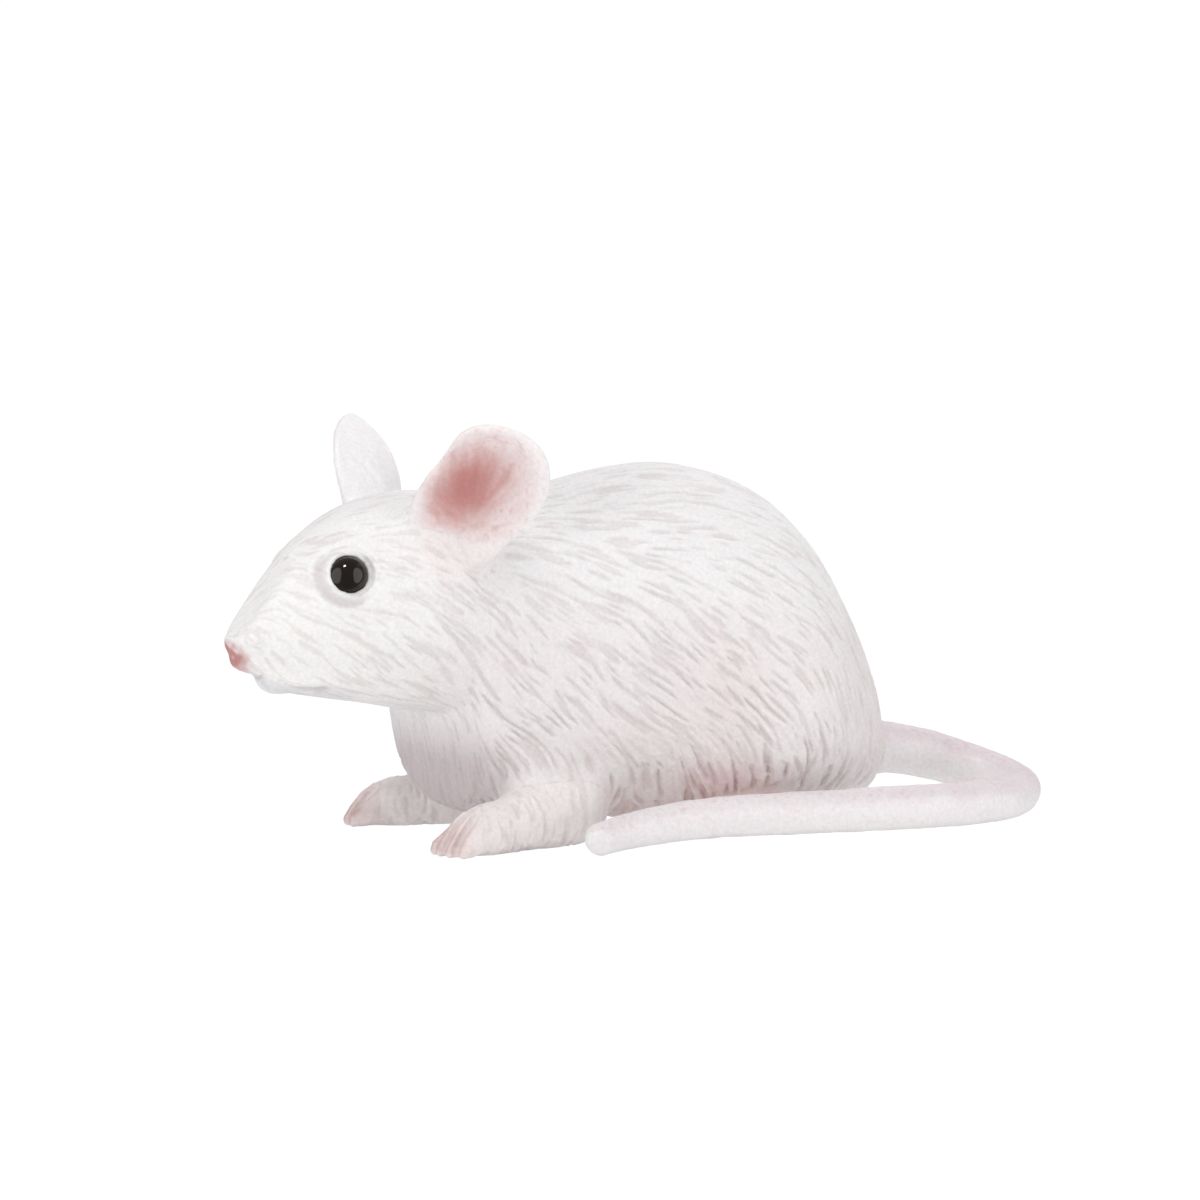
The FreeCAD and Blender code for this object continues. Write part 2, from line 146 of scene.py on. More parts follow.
def node_distance(node, win):
    """Signed distance from a CAD node's surface, negative inside."""
    mesh = frame["nodes"][node].data
    mesh.calc_loop_triangles()
    triangles = np.zeros(len(mesh.loop_triangles) * 3, np.int32)
    mesh.loop_triangles.foreach_get("vertices", triangles)
    grid = openvdb.FloatGrid.createLevelSetFromPolygons(
        (node_points(node) - ORIGIN).astype(np.float32),
        triangles=triangles.reshape(-1, 3).astype(np.uint32),
        transform=openvdb.createLinearTransform(VOXEL),
        halfWidth=BAND / VOXEL,
    )
    out = np.full([s.stop - s.start for s in win], BAND, np.float32)
    grid.copyToArray(out, ijk=starts(win))
    return out


def soft_union(a, b, reach):
    """The nearer of two distances, with a fillet of about the reach where they are alike."""
    h = np.maximum(reach - np.abs(a - b), 0.0) / reach
    return np.minimum(a, b) - h * h * reach / 4


def soft_cut(a, b, reach):
    """a with b taken away, with a round edge."""
    return -soft_union(-a, b, reach)


def square_distance(points, centre):
    return sum((axis - middle) ** 2 for axis, middle in zip(points, centre))


def distance_along(points, start, way):
    """How far grid points lie from a start, measured along a direction."""
    return sum((axis - first) * step for axis, first, step in zip(points, start, way))


def ball(points, centre, radius):
    return np.sqrt(square_distance(points, centre)) - radius


def line_distance(points, route, radii):
    """Distance from a bent rod whose radius changes along its route."""
    best = None
    for a, b, ra, rb in zip(route, route[1:], radii, radii[1:]):
        d = b - a
        t = np.clip(distance_along(points, a, d) / float(d @ d), 0.0, 1.0)
        near = np.sqrt(sum((axis - a[k] - t * d[k]) ** 2 for k, axis in enumerate(points)))
        near = near - (ra + (rb - ra) * t)
        best = near if best is None else np.minimum(best, near)
    return best


def corners(cell, share):
    """The eight corners round each point, with their trilinear weights."""
    for corner in range(8):
        step = np.array([corner & 1, corner >> 1 & 1, corner >> 2 & 1])
        yield cell + step, np.prod(np.where(step, share, 1 - share), axis=1)


def sample(field, win, points):
    """A field's value at free points, trilinear."""
    at = (points - ORIGIN) / VOXEL - np.array(starts(win))
    at = np.clip(at, 0, np.array(field.shape) - 1.001)
    cell = at.astype(int)
    out = 0.0
    for j, weight in corners(cell, at - cell):
        out = out + weight * field[j[:, 0], j[:, 1], j[:, 2]]
    return out


def blurred(field, passes):
    """The field smoothed, by about the square root of half the passes in voxels."""
    for _ in range(passes):
        for axis in range(3):
            ahead = np.roll(field, -1, axis)
            behind = np.roll(field, 1, axis)
            field = (ahead + 2 * field + behind) / 4
    return field


def surface_point(field, win, start, way, reach=12.0):
    """The first point inside the surface on the way from a start outside it."""
    route = start + np.outer(np.arange(0, reach, VOXEL / 3), way)
    inside = sample(field, win, route) < 0
    return route[inside.argmax()] if inside.any() else start


def step_up(x, low, high):
    """0 below low, 1 above high, smooth between."""
    t = np.clip((x - low) / (high - low), 0.0, 1.0)
    return t * t * (3 - 2 * t)


def unit(v):
    return v / np.maximum(np.linalg.norm(v, axis=1, keepdims=True), 1e-9)


# The head's own directions, eyes and ears --------------------------------------------------------

FORWARD = np.array([-math.cos(HEAD_TURN), -math.sin(HEAD_TURN), 0.0])
LEFT = np.array([math.sin(HEAD_TURN), -math.cos(HEAD_TURN), 0.0])
UP = np.array([0.0, 0.0, 1.0])


def nose_tip():
    points = node_points("body")
    return points[points[:, 0].argmin()].astype(float)


NOSE = nose_tip()


def head_point(back, left, up):
    """A point by its distances behind, left of and above the nose's tip."""
    return NOSE - FORWARD * back + LEFT * left + UP * up


def head_parts(p):
    """Distances behind, left of and above the nose's tip, of an array of points."""
    q = p - NOSE
    return -(q @ FORWARD), q @ LEFT, q[:, 2]


EYE_AHEAD = 0.3  # the visible beads sit this far ahead of the CAD's
EYE_SWELL = 1.05  # and are this much larger
BEAD_SHARE = 0.8  # of a node's points, those that are kept as the bead when its stem is dropped


def eye_ball(side):
    """Centre and radius of an eye's visible bead, from a ball fitted to the node's outer points."""
    points = node_points(f"{side}_eye").astype(float)
    keep = np.ones(len(points), bool)
    for _ in range(4):
        p = points[keep]
        system = np.hstack([2 * p, np.ones((len(p), 1))])
        answer = np.linalg.lstsq(system, (p**2).sum(1), rcond=None)[0]
        centre = answer[:3]
        radius = math.sqrt(answer[3] + centre @ centre)
        off = np.abs(np.linalg.norm(points - centre, axis=1) - radius)
        keep = off <= np.quantile(off, BEAD_SHARE)
    return centre + FORWARD * EYE_AHEAD, radius * EYE_SWELL


EYES = {side: eye_ball(side) for side in SIDES}


def eye_out(side):
    """The way an eye looks."""
    out = LEFT * (0.93 if side == "left" else -0.93) + UP * 0.30 + FORWARD * 0.22
    return out / np.linalg.norm(out)


EAR_UP = (0.07, 0.42, 0.90)  # the right ear's directions, before the head is turned
EAR_OPENING = (-0.60, 0.74, -0.30)
EAR_SLANT = 0.700 * FORWARD - 0.437 * LEFT + 0.566 * UP  # the left ear's upper front edge faces this way
EAR_SLANT_AT = 8.7  # and lies this far behind the nose's tip along it
EAR_BLADE = 14.5  # height of an ear without its peg
EAR_MIDDLE = 7.0  # from an ear's top down to the middle of its cup
RIM_PARTS = 24  # points in half a turn round an ear's rim
RIM_STRIP = 0.6  # half width of the strip that each of those points is looked for in


def ear_directions(side):
    """Directions of an ear's front rim, of its opening and of its height."""
    sign = -1.0 if side == "left" else 1.0
    up = np.array(EAR_UP) * (1, sign, 1)
    opening = np.array(EAR_OPENING) * (1, sign, 1)
    up /= np.linalg.norm(up)
    opening -= up * (opening @ up)
    opening /= np.linalg.norm(opening)
    turn = np.array([
        [math.cos(HEAD_TURN), -math.sin(HEAD_TURN), 0],
        [math.sin(HEAD_TURN), math.cos(HEAD_TURN), 0],
        [0, 0, 1],
    ])
    up, opening = turn @ up, turn @ opening
    front = np.cross(opening, up)
    return (front if side == "left" else -front), opening, up


def rim_points(blade, centre, front, opening, up):
    """The outermost points of an ear, from below its front edge over its top, with their angles."""
    offset = blade - centre
    rim = []
    for k in range(-4, RIM_PARTS + 5):
        angle = math.pi * k / RIM_PARTS
        out = front * math.cos(angle) + up * math.sin(angle)
        near = np.abs(offset @ np.cross(out, opening)) < RIM_STRIP
        if near.any():
            rim.append((angle, blade[near][(offset @ out)[near].argmax()]))
    middle = [(b[0], (a[1] + 2 * b[1] + c[1]) / 4) for a, b, c in zip(rim, rim[1:], rim[2:])]
    return rim[:1] + middle + rim[-1:]


def ear_facts(side):
    """An ear's centre, directions, half width and rim, from its CAD node."""
    front, opening, up = ear_directions(side)
    points = node_points(f"{side}_ear").astype(float)
    blade = points[points @ up > (points @ up).max() - EAR_BLADE]
    low, high = (blade @ front).min(), (blade @ front).max()
    top = (blade @ up).max()
    centre = front * (low + high) / 2 + up * (top - EAR_MIDDLE) + opening * (blade @ opening).max()
    return {
        "centre": centre,
        "front": front,
        "opening": opening,
        "up": up,
        "half": (high - low) / 2,
        "rim": rim_points(blade, centre, front, opening, up),
    }


EARS = {side: ear_facts(side) for side in SIDES}


def ear_parts(side, p):
    """How far points lie from the middle of an ear's cup towards its front rim and its top."""
    facts = EARS[side]
    q = p - facts["centre"]
    return q @ facts["front"], q @ facts["up"]


def ear_fan(side, p, root):
    """Directions that spread from a point below the middle of an ear's cup."""
    front, up = ear_parts(side, p)
    return unit(np.outer(up + root, EARS[side]["up"]) + np.outer(front, EARS[side]["front"]))


# The eyes' sockets -------------------------------------------------------------------------------

MOUND_SWELL = 0.75  # the mound round an eye goes this far beyond the bead
SOCKET_SWELL = 0.42  # the socket's opening is this much wider than the bead
LID_RADIUS = 0.30
LID_OUT = 0.62  # the lid runs round the bead this far out from its centre
CREASE_OUT = 1.05  # the crease runs this far outside the bead
CREASE_RADIUS = 0.24


def add_eye_sockets(form):
    """A smooth raised lid, a narrow step down to the bead, and a soft crease round the lid's front."""
    for side, (centre, radius) in EYES.items():
        out = eye_out(side)
        win = window(centre - 6, centre + 6)
        at = grid_points(win)
        along = distance_along(at, centre, out)
        away = np.sqrt(np.maximum(square_distance(at, centre) - along**2, 0))
        front = 1 / (1 + np.exp(-distance_along(at, centre, FORWARD - 0.6 * UP) / 0.8))
        block = soft_union(form[win], ball(at, centre - out * 1.2, radius + MOUND_SWELL), 2.4)
        crease = np.sqrt((away - radius - CREASE_OUT) ** 2 + (block + 0.05) ** 2)
        block = soft_cut(block, crease - CREASE_RADIUS * front, 0.8)
        block = soft_cut(block, ball(at, centre + out * 1.5, radius + SOCKET_SWELL), 0.45)
        lid = np.sqrt((away - radius * 0.97) ** 2 + (along - LID_OUT) ** 2) - LID_RADIUS
        block = soft_union(block, lid, 0.45)
        form[win] = soft_cut(block, ball(at, centre, radius - 0.03), 0.08)


# The muzzle --------------------------------------------------------------------------------------


def mouth_level(back):
    """How far above the nose's tip the line of the mouth runs, at a distance behind it."""
    return np.interp(back, (3.5, 4.4, 5.4, 7.0, 9.4, 14.0), (-4.35, -4.95, -5.35, -5.55, -5.6, -6.4))


# Lines cut into both sides of the muzzle: their points' distances behind and above the nose's tip,
# the radii at those points, and how round the edges are.
MUZZLE_LINES = {
    "nostril": (((2.0, -0.6), (1.5, -1.0), (1.0, -1.45)), (0.18, 0.36, 0.16), 0.3),
    "nose fold": (((2.6, -0.9), (2.3, -1.9), (1.2, -2.1)), (0.12, 0.24, 0.14), 0.4),
    "mouth": (
        [(back, mouth_level(back)) for back in (3.8, 4.6, 5.6, 6.8, 8.0, 9.4)],
        (0.34, 0.28, 0.24, 0.2, 0.2, 0.26),
        0.3,
    ),
    "corner": (((8.4, -6.25), (9.4, -5.7), (10.3, -6.3)), (0.16, 0.32, 0.16), 0.25),
}
MUZZLE_SIDE = 9.0  # a point's way to the muzzle's side starts this far out
NOSE_SLANT = (0.607, 0.795, 0.62)  # rise, run and offset of the plane that trims the nose
CHIN = (5.5, 0, -4.7)
CHIN_RADIUS = 1.5
PAD = (1.15, 0, -1.0)
PAD_RADIUS = 1.15


def on_muzzle(block, win, back, up, s):
    """The point of the muzzle's side at a distance behind and above the nose's tip."""
    return surface_point(block, win, head_point(back, MUZZLE_SIDE * s, up), LEFT * -s, MUZZLE_SIDE)


def set_jaw_back(block, back, above):
    """The jaw's sides and front, moved in a little under the lips."""
    below = mouth_level(back) - above
    jaw = step_up(below, -0.12, 0.22) * step_up(back, 3.0, 4.2) * (1 - step_up(back, 8.5, 13.0))
    jaw = jaw * (1 - 0.8 * step_up(below, 0.5, 1.3))
    return block + 0.42 * jaw


def add_nose(block, at):
    """The chin, the nose pad with its two wings, and the upper lips with a notch under them."""
    block = soft_union(block, ball(at, head_point(*CHIN), CHIN_RADIUS), 1.6)
    block = soft_union(block, ball(at, head_point(*PAD), PAD_RADIUS), 0.7)
    for s in (-1, 1):
        block = soft_union(block, ball(at, head_point(1.55, 0.95 * s, -1.3), 0.95), 0.45)
        block = soft_union(block, ball(at, head_point(2.5, 0.75 * s, -2.65), 1.5), 0.7)
    notch = [head_point(3.6, y, -4.45 - 0.05 * abs(y)) for y in (-3.0, 0.0, 3.0)]
    return soft_cut(block, line_distance(at, notch, [0.2, 0.4, 0.2]), 0.5)


def add_muzzle(form):
    """The nose pad with its nostrils, upper lips, mouth line and the jaw set back under it."""
    win = window(NOSE - np.array([2, 8, 9]), NOSE + np.array([18, 9, 6]), 2)
    at = grid_points(win)
    back = -distance_along(at, NOSE, FORWARD)
    above = at[2] - NOSE[2]
    rise, run, offset = NOSE_SLANT
    block = soft_cut(form[win], -(rise * (above + offset) - run * back), 0.5)
    block = add_nose(set_jaw_back(block, back, above), at)
    for s in (-1, 1):
        for places, radii, edge in MUZZLE_LINES.values():
            route = [on_muzzle(block, win, *place, s) for place in places]
            block = soft_cut(block, line_distance(at, route, radii), edge)
    groove = [head_point(0.2, 0, -1.5), head_point(0.9, 0, -2.6), head_point(1.6, 0, -4.0)]
    form[win] = soft_cut(block, line_distance(at, groove, [0.16, 0.26, 0.26]), 0.4)


# The flanks --------------------------------------------------------------------------------------

# Points from the fold's middle on the right side; on the left side, y is the other way.
FLANK_FOLD = ((-3.2, 0.6, -1.4), (0, 1.4, -0.2), (3.6, 1.2, 0.5))
FLANK_HOLLOW = ((-0.6, 2.4, 1.5), (-0.9, 3.6, 6.0), (0.8, 3.9, 12.0))


def flank_point(s):
    """The middle of the fold ahead of a thigh: just above and ahead of the hind foot's instep."""
    node = "left_hind_foot" if s < 0 else "right_hind_foot"
    lo, hi = (np.array(v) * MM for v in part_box(node))
    outer = lo[1] if s < 0 else hi[1]
    return np.array([(lo[0] + hi[0]) / 2 - 3.6, outer + 0.5 * s, 7.2])


def add_flank_creases(form):
    """The fold where the thigh meets the belly, and the hollow up its front edge."""
    for s in (-1, 1):
        anchor = flank_point(s)
        win = window(anchor - 12, anchor + 14)
        at = grid_points(win)
        fold = [anchor + np.array(v) * (1, s, 1) for v in FLANK_FOLD]
        block = soft_cut(form[win], line_distance(at, fold, [0.3, 0.95, 0.35]), 1.1)
        hollow = [anchor + np.array(v) * (1, s, 1) for v in FLANK_HOLLOW]
        form[win] = soft_cut(block, line_distance(at, hollow, [1.0, 1.25, 0.9]), 2.6)


# Ears, paws and the fused form -------------------------------------------------------------------

RIM_RADIUS = 0.34
SLANT_RADIUS = 0.38  # of the edge that is rebuilt where the left ear is trimmed


def ear_form(side, distance, win):
    """An ear with a rolled rim and a root that runs down its front."""
    facts = EARS[side]
    at = grid_points(win)
    rim = facts["rim"]
    if side == "left":
        past = distance_along(at, NOSE, EAR_SLANT) + EAR_SLANT_AT
        edge = np.sqrt(np.maximum(distance + 0.2, 0) ** 2 + past**2) - SLANT_RADIUS
        distance = soft_union(soft_cut(distance, -past, 1.2), edge, 0.6)
        rim = [(angle, point) for angle, point in rim if (point - NOSE) @ EAR_SLANT + EAR_SLANT_AT < 0.0]
    centre, front, up, opening = (facts[key] for key in ("centre", "front", "up", "opening"))
    inward = -opening * 0.2
    for (angle, a), (next_angle, b) in zip(rim, rim[1:]):
        if (next_angle - angle) * RIM_PARTS < 1.5 * math.pi:  # next to each other
            segment = line_distance(at, [a + inward, b + inward], [RIM_RADIUS, RIM_RADIUS])
            distance = soft_union(distance, segment, 0.6)
    edge = front * (facts["half"] - 1.6)
    root = [
        centre + edge - up * 0.5 - opening * 0.6,
        centre + edge - up * 4.0 - opening * 1.3,
        centre + edge * 0.9 - up * 8.0 - opening * 2.4,
    ]
    distance = soft_union(distance, line_distance(at, root, [0.2, 0.7, 1.3]), 1.4)
    return blurred(distance, 3)


TOE_HEADING = {  # the way the left paws point
    "foreleg": np.array([-0.956, -0.292, 0.0]),
    "hind_foot": np.array([-0.994, -0.109, 0.0]),
}
WRIST_LINE = ((3.0, 1.9), (6.6, 2.6), (10.5, 3.5))  # behind the toes' tips, and above the floor
TOE_RUN = ((5.6, 0.55), (4.4, 0.64), (3.2, 0.76), (2.1, 0.86), (1.0, 0.95))  # behind the tips, and spread
TOES = (-0.78, -0.26, 0.26, 0.78)  # places across the paw, as shares of its half width
TOE_GAPS = (-0.48, 0.0, 0.48)
TOE_RADII = (0.2, 0.5, 0.62, 0.66, 0.55)
GAP_RADII = (0.05, 0.22, 0.36, 0.44, 0.5, 0.5)
PAW_ABOVE = 9.0  # a point's way down to the paw starts at this height


def paw_form(limb, distance, win):
    """A smooth paw with round toes, and grooves that fan from its top over its front."""
    heading = by_kind(TOE_HEADING, limb) * (1, 1 if "left" in limb else -1, 1)
    across = np.array([-heading[1], heading[0], 0.0])
    points = node_points(limb).astype(float)
    tip = (points @ heading).max()
    tips = points[points @ heading > tip - 1.6] @ across
    middle, half = (tips.min() + tips.max()) / 2, (tips.max() - tips.min()) / 2
    distance = blurred(distance, 8)
    at = grid_points(win)
    if "foreleg" in limb:
        wrist = [heading * (tip - back) + across * middle + UP * up for back, up in WRIST_LINE]
        distance = soft_union(distance, line_distance(at, wrist, [1.75, 2.45, 2.75]), 1.2)

    def over_paw(place):
        """The route over the paw's back and down its front, at a place across it."""
        route = []
        for back, spread in TOE_RUN:
            start = heading * (tip - back) + across * (middle + place * half * spread) + UP * PAW_ABOVE
            route.append(surface_point(distance, win, start, -UP, PAW_ABOVE))
        start = heading * (tip + 1.5) + across * (middle + place * half) + UP * 0.9
        route.append(surface_point(distance, win, start, -heading, 4.0))
        return route

    gaps = [over_paw(place) for place in TOE_GAPS]
    toes = [[point - UP * 0.35 for point in over_paw(place)[1:]] for place in TOES]
    for toe in toes:
        distance = soft_union(distance, line_distance(at, toe, TOE_RADII), 0.25)
    for gap in gaps:
        distance = soft_cut(distance, line_distance(at, gap, GAP_RADII), 0.3)
    return distance


whole = tuple(slice(0, int(n)) for n in SHAPE)
form = soft_union(node_distance("body", whole), node_distance("core", whole), 0.5)
own = {}  # each limb's own distance, with its window
for limb in LIMBS:
    win = node_window(limb, 3.0)
    distance = node_distance(limb, win)
    if limb.endswith("ear"):
        distance = ear_form(limb.split("_")[0], distance, win)
    elif limb != "tail":
        distance = paw_form(limb, distance, win)
    own[limb] = (distance, win)
    form[win] = soft_union(form[win], distance, by_kind(FILLETS, limb))
add_eye_sockets(form)
add_muzzle(form)
add_flank_creases(form)


# Noise and fur -----------------------------------------------------------------------------------

TABLE_SIZE = 64
TABLE = np.random.default_rng(7).random((TABLE_SIZE, TABLE_SIZE, TABLE_SIZE)).astype(np.float32)
STROKE_SAMPLES = 13
STROKE_TAPER = 0.7  # how much less a stroke's ends count than its middle


def noise(p, cell, shift=0.0):
    """Smooth noise from 0 to 1, with bumps about the size of the cell."""
    q = p / cell + shift
    first = np.floor(q).astype(int)
    share = (q - first).astype(np.float32)
    share = share * share * (3 - 2 * share)
    out = np.zeros(len(p), np.float32)
    for corner, weight in corners(first, share):
        j = corner & (TABLE_SIZE - 1)
        out += weight * TABLE[j[:, 0], j[:, 1], j[:, 2]]
    return out


def strokes(p, along, cell, length, shift):
    """Noise drawn out along a direction, with a mean of 0 and a spread of 1."""
    total = np.zeros(len(p), np.float32)
    weights = 0.0
    for k in range(STROKE_SAMPLES):
        t = (k / (STROKE_SAMPLES - 1) - 0.5) * length
        w = 1.0 - abs(2 * k / (STROKE_SAMPLES - 1) - 1.0) * STROKE_TAPER
        total += w * noise(p + along * t, cell, shift)
        weights += w
    total /= weights
    return (total - total.mean()) / total.std()


def grooves(p, along, cell, length, shift):
    """Flat ridges at 1, parted by narrow strokes of limited length that go down to 0."""
    return step_up(strokes(p, along, cell, length, shift), -1.25, 0.15)


def lay_of_fur(p, n):
    """The way the fur lies on the surface: back along the head and spine, down on the flanks and rump."""
    x, _, z = p.T
    slope = 5 + 22 * step_up(-z, -38, -29) + 18 * step_up(-z, -30, -19) + 38 * step_up(-z, -14, -5)
    slope = slope + 22 * step_up(x, 10, 27) * step_up(-z, -38, -24)
    back, _, up = head_parts(p)
    slope = slope - 12 * (1 - step_up(back, 6, 20)) * step_up(up, -4, 2)
    wander = (noise(p, 7.0, 3.3) - 0.5) * 26 + (noise(p, 2.4, 9.1) - 0.5) * 26
    slope = np.radians(slope + wander)
    along = np.stack([np.cos(slope), np.zeros_like(slope), -np.sin(slope)], axis=1)
    return unit(along - n * (along * n).sum(1, keepdims=True))


def fur_height(p, n):
    """Carved strokes, bolder on the belly: from 0 at the bottom of the grooves to 1 on the ridges."""
    x, _, z = p.T
    along = lay_of_fur(p, n)
    bold = step_up(-z, -15, -6) * step_up(x, -18, -8)
    fine = grooves(p, along, 0.36, 3.2, 0.0)
    wide = grooves(p, along, 0.54, 4.0, 21.7)
    clumps = strokes(p, along, 1.7, 7.0, 31.0)
    height = fine * (1.2 - 0.85 * bold) + wide * (0.28 + 0.92 * bold) + 0.10 * clumps
    low, high = np.quantile(height, (0.02, 0.98))
    return np.clip((height - low) / (high - low), 0, 1)


def fur_depth(p):
    """How deep the fur is carved, in mm: most on the belly, little on the jaw, none round the eyes."""
    x, _, z = p.T
    back, _, up = head_parts(p)
    behind_face = step_up(back, 4, 22)
    brow = step_up(up, 3, 8) * (1 - step_up(back, 12, 26))
    depth = (0.12 + 0.17 * behind_face) * (1 - 0.65 * brow) * (1 - 0.35 * step_up(z, 30, 38))
    depth = depth + 0.09 * step_up(-z, -24, -12) * step_up(x, -24, -14)
    depth = depth + 0.22 * step_up(-z, -14, -7) * step_up(x, -14, -4)
    jaw = step_up(mouth_level(back) - up, -0.3, 0.4) * (1 - step_up(back, 9.0, 15.0))
    depth = depth * (1 - 0.85 * jaw)
    depth = depth * (0.75 + 0.5 * noise(p, 5.0, 12.0))
    for centre, radius in EYES.values():
        away = np.linalg.norm(p - centre, axis=1)
        depth = depth * step_up(away, radius + 1.0, radius + 4.0)
    return depth


# Paint -------------------------------------------------------------------------------------------

WHITE = np.array([0.835, 0.815, 0.812])
SNOUT_WHITE = np.array([0.875, 0.860, 0.845])
# A lighter, cooler white than the fur's, painted as light on the ears.
LIT_EAR_WHITE = np.array([0.88, 0.865, 0.87])
PINK = np.array([0.58, 0.255, 0.235])
PALE_PINK = np.array([0.72, 0.52, 0.49])
GREY_PINK = np.array([0.50, 0.42, 0.43])
BROWN_PINK = np.array([0.46, 0.235, 0.205])
LILAC = np.array([0.66, 0.55, 0.59])

# What painted shade leaves of the colour under it: on the lower body, in the fur's grooves, on the jaw and
# in the paws' grooves.
LOW_BODY_SHADE = np.array([0.950, 0.925, 0.925])
FUR_GROOVE_SHADE = np.array([0.88, 0.855, 0.85])
JAW_SHADE = np.array([0.86, 0.86, 0.89])
PAW_GROOVE_SHADE = np.array([0.86, 0.83, 0.82])


def mix(a, b, share):
    """From a to b by a share of 0 to 1, given once or for each point."""
    share = np.clip(share, 0, 1)
    share = share[:, None] if np.ndim(share) else share
    return a * (1 - share) + b * share


def spot(p, centre, size):
    """1 in a spot's middle, falling off by its sizes along x, y and z."""
    return np.exp(-(((p - centre) / size) ** 2).sum(1))


def paint_muzzle(colour, p):
    """The jaw greyed as painted shade under the lips, the grey lips, the mouth's corners and the pink,
    patchy nose.
    """
    back, _, up = head_parts(p)
    jaw = step_up(mouth_level(back) - up, -0.1, 0.3)
    jaw = jaw * step_up(back, 2.6, 3.6) * (1 - step_up(back, 9.0, 15.0))
    # Painted shade: the jaw under the lips turns a cool grey.
    colour = mix(colour, colour * JAW_SHADE, jaw)
    lips = np.linalg.norm(p - head_point(2.2, 0, -3.0), axis=1)
    colour = mix(colour, GREY_PINK * 1.25, 0.55 * (1 - step_up(lips, 1.3, 2.6)))
    tip = np.linalg.norm((p - head_point(1.4, 0, -1.8)) * (1, 0.9, 1), axis=1)
    patch = step_up(noise(p, 0.75, 4.0) + 0.30 * (1.8 - tip), 0.26, 0.70)
    pad = (1 - step_up(tip, 1.7, 2.9)) * step_up(-up, 0.35, 0.95)
    colour = mix(colour, PINK * 0.86, pad * (0.35 + 0.60 * patch))
    for s in (-1, 1):
        corner = np.linalg.norm((p - head_point(9.4, 4.0 * s, -5.7)) * (1, 0.35, 1.6), axis=1)
        colour = mix(colour, GREY_PINK, 0.45 * (1 - step_up(corner, 0.3, 1.3)) * (0.3 + 0.7 * jaw))
    return colour


def paint_lids(colour, p):
    """Painted grey-pink shade in the crease round the front of each eye."""
    for centre, radius in EYES.values():
        q = p - centre
        away = np.abs(np.linalg.norm(q, axis=1) - radius - 1.0)
        front = step_up(q @ FORWARD - 0.7 * q[:, 2], -0.5, 2.5)
        colour = mix(colour, GREY_PINK, 0.42 * front * (1 - step_up(away, 0.1, 0.75)))
    return colour


def paint_folds(colour, p):
    """Pink in the folds ahead of the thighs, partly pink paint and partly painted shade, pale pink at the
    ears' roots, and painted grey-pink shade under the throat.
    """
    x, _, z = p.T
    for s in (-1, 1):
        anchor = flank_point(s)
        # Pink paint in the fold and the hollow ahead of each thigh, deepened as painted shade.
        colour = mix(colour, PINK * 1.25, 0.26 * spot(p, anchor + (0, 0, -0.8), (5.5, 5.0, 2.6)))
        colour = mix(colour, PALE_PINK, 0.22 * spot(p, anchor + (-0.8, 4 * s, 8), (3.0, 5.0, 6.5)))
    # Painted shade: grey-pink under the throat.
    throat_shade = step_up(-z, -14, -8) * (1 - step_up(x, -20, -15))
    colour = mix(colour, GREY_PINK, 0.70 * throat_shade)
    for facts in EARS.values():
        root = facts["centre"] - facts["up"] * 6.0
        away = np.linalg.norm(p - root, axis=1)
        colour = mix(colour, PALE_PINK * 1.1, 0.16 * (1 - step_up(away, 2.5, 7.5)))
    return colour


def body_paint(p, n, height):
    """White fur with painted shade in its grooves and towards the bottom, a pink belly and faint pink
    blotches on the flanks.
    """
    x, _, z = p.T
    back, _, _ = head_parts(p)
    groove = 1 - height
    colour = np.tile(WHITE, (len(p), 1))
    colour = mix(colour, SNOUT_WHITE, step_up(-back, -22, -6))
    # Painted shade: the body turns darker and warmer towards the bottom.
    low = step_up(-z, -31, -19) * step_up(x, -26, -16)
    colour = mix(colour, colour * LOW_BODY_SHADE, low)
    # Painted shade in the fur's grooves: the deeper the groove, the darker.
    colour = mix(colour, colour * FUR_GROOVE_SHADE, groove**2)
    belly = step_up(-z, -9, -4) * step_up(x, -16, -6) * step_up(-x, -20, -10)
    colour = mix(colour, PALE_PINK * 1.08, belly * (0.14 + 0.42 * groove))
    blotch = step_up(noise(p, 9.0, 1.7), 0.5, 0.9)
    colour = mix(colour, PALE_PINK * 1.15, 0.10 * blotch * step_up(-z, -26, -10))
    return paint_folds(paint_lids(paint_muzzle(colour, p), p), p)


def ear_paint(side):
    facts = EARS[side]

    def paint(p, n, height):
        """Deep pink in the cup, streaked outwards to a white rim and a white back, whose white is painted
        lighter and cooler than the fur's as painted light.
        """
        front, up = ear_parts(side, p)
        facing = step_up(n @ facts["opening"], -0.05, 0.45)
        streak = strokes(p, ear_fan(side, p, 5.0), 0.5, 5.0, 5.0)
        across = front - 1.5 + 0.22 * up
        reach = np.where(across > 0, facts["half"] * 0.66, facts["half"] * 1.05)
        far = np.sqrt((across / reach) ** 2 + ((up + 1.2) / np.where(up > -1.2, 8.0, 7.6)) ** 2)
        deep = 1 - step_up(far + 0.035 * streak + 0.10 * (noise(p, 1.1, 6.0) - 0.5), 0.05, 1.05)
        rim = step_up(np.hypot(front / facts["half"], up / 7.6), 0.80, 0.98)
        # Painted light: the ears start from a white lighter and cooler than the fur's.
        colour = np.tile(LIT_EAR_WHITE, (len(p), 1))
        colour = mix(colour, PALE_PINK, facing * (0.34 + 0.5 * deep) * (1 - 0.6 * rim))
        colour = mix(colour, PINK * 0.96, facing * deep**1.15)
        speck = step_up(noise(p, 0.42, 8.0), 0.66, 0.90) * (1 - 0.5 * rim)
        colour = mix(colour, PINK * 1.05, facing * speck * 0.30)
        root = mix(WHITE, PALE_PINK * 1.1, 0.14)
        return mix(colour, root, step_up(-up, 5.2, 7.6))

    return paint


